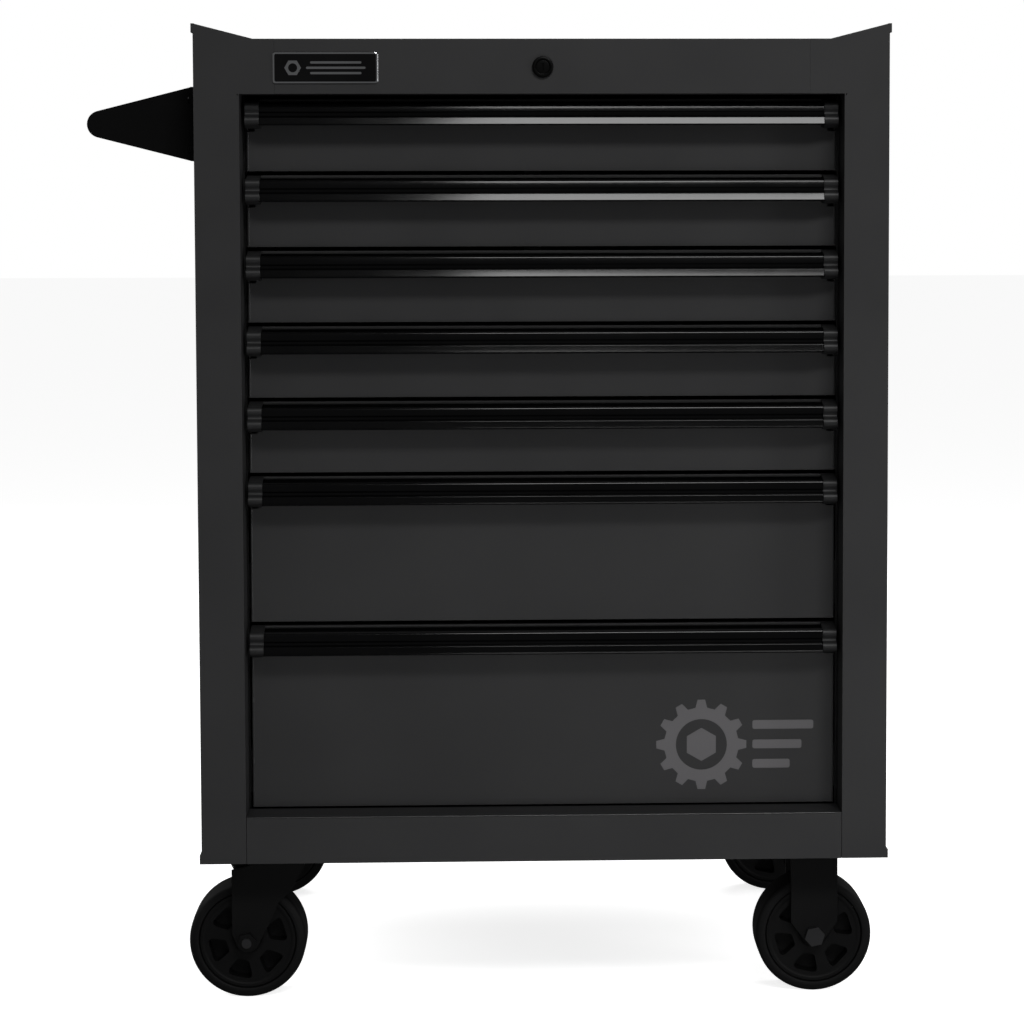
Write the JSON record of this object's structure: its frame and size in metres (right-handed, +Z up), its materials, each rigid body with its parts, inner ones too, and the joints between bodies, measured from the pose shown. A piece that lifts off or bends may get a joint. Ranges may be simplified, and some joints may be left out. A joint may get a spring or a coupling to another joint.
{
  "type": "rolling tool chest",
  "caption": "Sheet-steel rolling tool chest with full-width drawers on ball-bearing slides, a push handle on one side and casters.",
  "frame": {"origin": "centre of the chest's box, on the floor", "axes": "+Z up, -Y out of the drawers' front, +X to the right seen from the front"},
  "size_m": [0.798, 0.614, 0.9855],
  "materials": {
    "cabinet_paint": "satin near-black powder coat with a fine orange-peel texture",
    "drawer_paint": "satin near-black powder coat with a fine orange-peel texture",
    "rack_steel": "semi-gloss black coat on pressed steel",
    "pull_black": "gloss black anodised extrusion",
    "pull_cap": "satin moulded plastic",
    "zinc": "bright zinc plate",
    "badge": "gloss black enamel",
    "badge_rim": "polished chrome rim",
    "lock_black": "gloss black lock head",
    "handle_cast": "fine-textured black moulding",
    "handle_tube": "satin black tube",
    "caster_steel": "black electrocoat on pressed steel",
    "bolt_steel": "dark plated steel",
    "wheel_core": "moulded black polyolefin",
    "tyre": "matte black rubber tread",
    "liner": "ribbed black non-slip drawer liner",
    "emblem": "matt grey vinyl"
  },
  "bodies": {
    "root": {"left_side_panel": "cabinet_paint", "right_side_panel": "cabinet_paint", "top_front_rail": "cabinet_paint", "top_panel": "cabinet_paint", "bottom_tray": "cabinet_paint", "back_panel": "cabinet_paint", "left_slide_rack": "rack_steel", "right_slide_rack": "rack_steel", "badge_plate": "badge", "handle_bracket_front": "handle_cast", "handle_bracket_rear": "handle_cast", "handle_tube": "handle_tube", "swivel_plate_front": "caster_steel", "rigid_fork_front": "caster_steel", "rigid_axle_front": "bolt_steel", "swivel_plate_rear": "caster_steel", "rigid_fork_rear": "caster_steel", "rigid_axle_rear": "bolt_steel"},
    "lock_plug": {"lock_plug": "lock_black"},
    "lock_bar": {"lock_bar": "zinc"},
    "swivel_front": {"swivel_fork_front": "caster_steel", "swivel_axle_front": "bolt_steel"},
    "swivel_wheel_front": {"swivel_rim_front": "wheel_core", "swivel_tyre_front": "tyre"},
    "rigid_wheel_front": {"rigid_rim_front": "wheel_core", "rigid_tyre_front": "tyre"},
    "swivel_rear": {"swivel_fork_rear": "caster_steel", "swivel_axle_rear": "bolt_steel"},
    "swivel_wheel_rear": {"swivel_rim_rear": "wheel_core", "swivel_tyre_rear": "tyre"},
    "rigid_wheel_rear": {"rigid_rim_rear": "wheel_core", "rigid_tyre_rear": "tyre"},
    "drawer_1": {"drawer_1_box": "drawer_paint", "drawer_1_pull": "pull_black"},
    "drawer_1_middle_slides": {"drawer_1_slide_left": "zinc", "drawer_1_slide_right": "zinc"},
    "drawer_2": {"drawer_2_box": "drawer_paint", "drawer_2_pull": "pull_black"},
    "drawer_2_middle_slides": {"drawer_2_slide_left": "zinc", "drawer_2_slide_right": "zinc"},
    "drawer_3": {"drawer_3_box": "drawer_paint", "drawer_3_pull": "pull_black"},
    "drawer_3_middle_slides": {"drawer_3_slide_left": "zinc", "drawer_3_slide_right": "zinc"},
    "drawer_4": {"drawer_4_box": "drawer_paint", "drawer_4_pull": "pull_black"},
    "drawer_4_middle_slides": {"drawer_4_slide_left": "zinc", "drawer_4_slide_right": "zinc"},
    "drawer_5": {"drawer_5_box": "drawer_paint", "drawer_5_pull": "pull_black"},
    "drawer_5_middle_slides": {"drawer_5_slide_left": "zinc", "drawer_5_slide_right": "zinc"},
    "drawer_6": {"drawer_6_box": "drawer_paint", "drawer_6_pull": "pull_black"},
    "drawer_6_middle_slides": {"drawer_6_slide_left": "zinc", "drawer_6_slide_right": "zinc"},
    "drawer_7": {"drawer_7_box": "drawer_paint", "drawer_7_pull": "pull_black"},
    "drawer_7_middle_slides": {"drawer_7_slide_left": "zinc", "drawer_7_slide_right": "zinc"}
  },
  "joints": [
    {"name": "caster_swivel_front", "type": "hinge", "parent": "root", "child": "swivel_front", "pos_m": [-0.2224, -0.2217, 0.1], "axis": [0, 0, 1], "continuous": true},
    {"name": "swivel_wheel_roll_front", "type": "hinge", "parent": "swivel_front", "child": "swivel_wheel_front", "pos_m": [-0.2484, -0.2217, 0.0593], "axis": [0, 1, 0], "continuous": true},
    {"name": "rigid_wheel_roll_front", "type": "hinge", "parent": "root", "child": "rigid_wheel_front", "pos_m": [0.3306, -0.2217, 0.0593], "axis": [0, 1, 0], "continuous": true},
    {"name": "caster_swivel_rear", "type": "hinge", "parent": "root", "child": "swivel_rear", "pos_m": [-0.2224, 0.2257, 0.1], "axis": [0, 0, 1], "continuous": true},
    {"name": "swivel_wheel_roll_rear", "type": "hinge", "parent": "swivel_rear", "child": "swivel_wheel_rear", "pos_m": [-0.2484, 0.2257, 0.0593], "axis": [0, 1, 0], "continuous": true},
    {"name": "rigid_wheel_roll_rear", "type": "hinge", "parent": "root", "child": "rigid_wheel_rear", "pos_m": [0.3306, 0.2257, 0.0593], "axis": [0, 1, 0], "continuous": true},
    {"name": "drawer_1_open", "type": "slide", "parent": "root", "child": "drawer_1", "axis": [0, -1, 0], "range_m": [0, 0.515]},
    {"name": "drawer_1_slide", "type": "slide", "parent": "root", "child": "drawer_1_middle_slides", "axis": [0, -1, 0], "range_m": [0, 0.26]},
    {"name": "drawer_2_open", "type": "slide", "parent": "root", "child": "drawer_2", "axis": [0, -1, 0], "range_m": [0, 0.515]},
    {"name": "drawer_2_slide", "type": "slide", "parent": "root", "child": "drawer_2_middle_slides", "axis": [0, -1, 0], "range_m": [0, 0.26]},
    {"name": "drawer_3_open", "type": "slide", "parent": "root", "child": "drawer_3", "axis": [0, -1, 0], "range_m": [0, 0.515]},
    {"name": "drawer_3_slide", "type": "slide", "parent": "root", "child": "drawer_3_middle_slides", "axis": [0, -1, 0], "range_m": [0, 0.26]},
    {"name": "drawer_4_open", "type": "slide", "parent": "root", "child": "drawer_4", "axis": [0, -1, 0], "range_m": [0, 0.515]},
    {"name": "drawer_4_slide", "type": "slide", "parent": "root", "child": "drawer_4_middle_slides", "axis": [0, -1, 0], "range_m": [0, 0.26]},
    {"name": "drawer_5_open", "type": "slide", "parent": "root", "child": "drawer_5", "axis": [0, -1, 0], "range_m": [0, 0.515]},
    {"name": "drawer_5_slide", "type": "slide", "parent": "root", "child": "drawer_5_middle_slides", "axis": [0, -1, 0], "range_m": [0, 0.26]},
    {"name": "drawer_6_open", "type": "slide", "parent": "root", "child": "drawer_6", "axis": [0, -1, 0], "range_m": [0, 0.515]},
    {"name": "drawer_6_slide", "type": "slide", "parent": "root", "child": "drawer_6_middle_slides", "axis": [0, -1, 0], "range_m": [0, 0.26]},
    {"name": "drawer_7_open", "type": "slide", "parent": "root", "child": "drawer_7", "axis": [0, -1, 0], "range_m": [0, 0.515]},
    {"name": "drawer_7_slide", "type": "slide", "parent": "root", "child": "drawer_7_middle_slides", "axis": [0, -1, 0], "range_m": [0, 0.26]},
    {"name": "lock_turn", "type": "hinge", "parent": "root", "child": "lock_plug", "pos_m": [0.0541, -0.303, 0.9426], "axis": [0, -1, 0], "range_deg": [0, 90]},
    {"name": "lock_bar_lift", "type": "slide", "parent": "root", "child": "lock_bar", "axis": [0, 0, 1], "range_m": [0, 0.01]}
  ],
  "couplings": [
    {"joint": "drawer_1_slide", "follows": "drawer_1_open", "ratio": 0.5},
    {"joint": "drawer_2_slide", "follows": "drawer_2_open", "ratio": 0.5},
    {"joint": "drawer_3_slide", "follows": "drawer_3_open", "ratio": 0.5},
    {"joint": "drawer_4_slide", "follows": "drawer_4_open", "ratio": 0.5},
    {"joint": "drawer_5_slide", "follows": "drawer_5_open", "ratio": 0.5},
    {"joint": "drawer_6_slide", "follows": "drawer_6_open", "ratio": 0.5},
    {"joint": "drawer_7_slide", "follows": "drawer_7_open", "ratio": 0.5},
    {"joint": "lock_turn", "follows": "lock_bar_lift", "rad_per_m": 157}
  ]
}
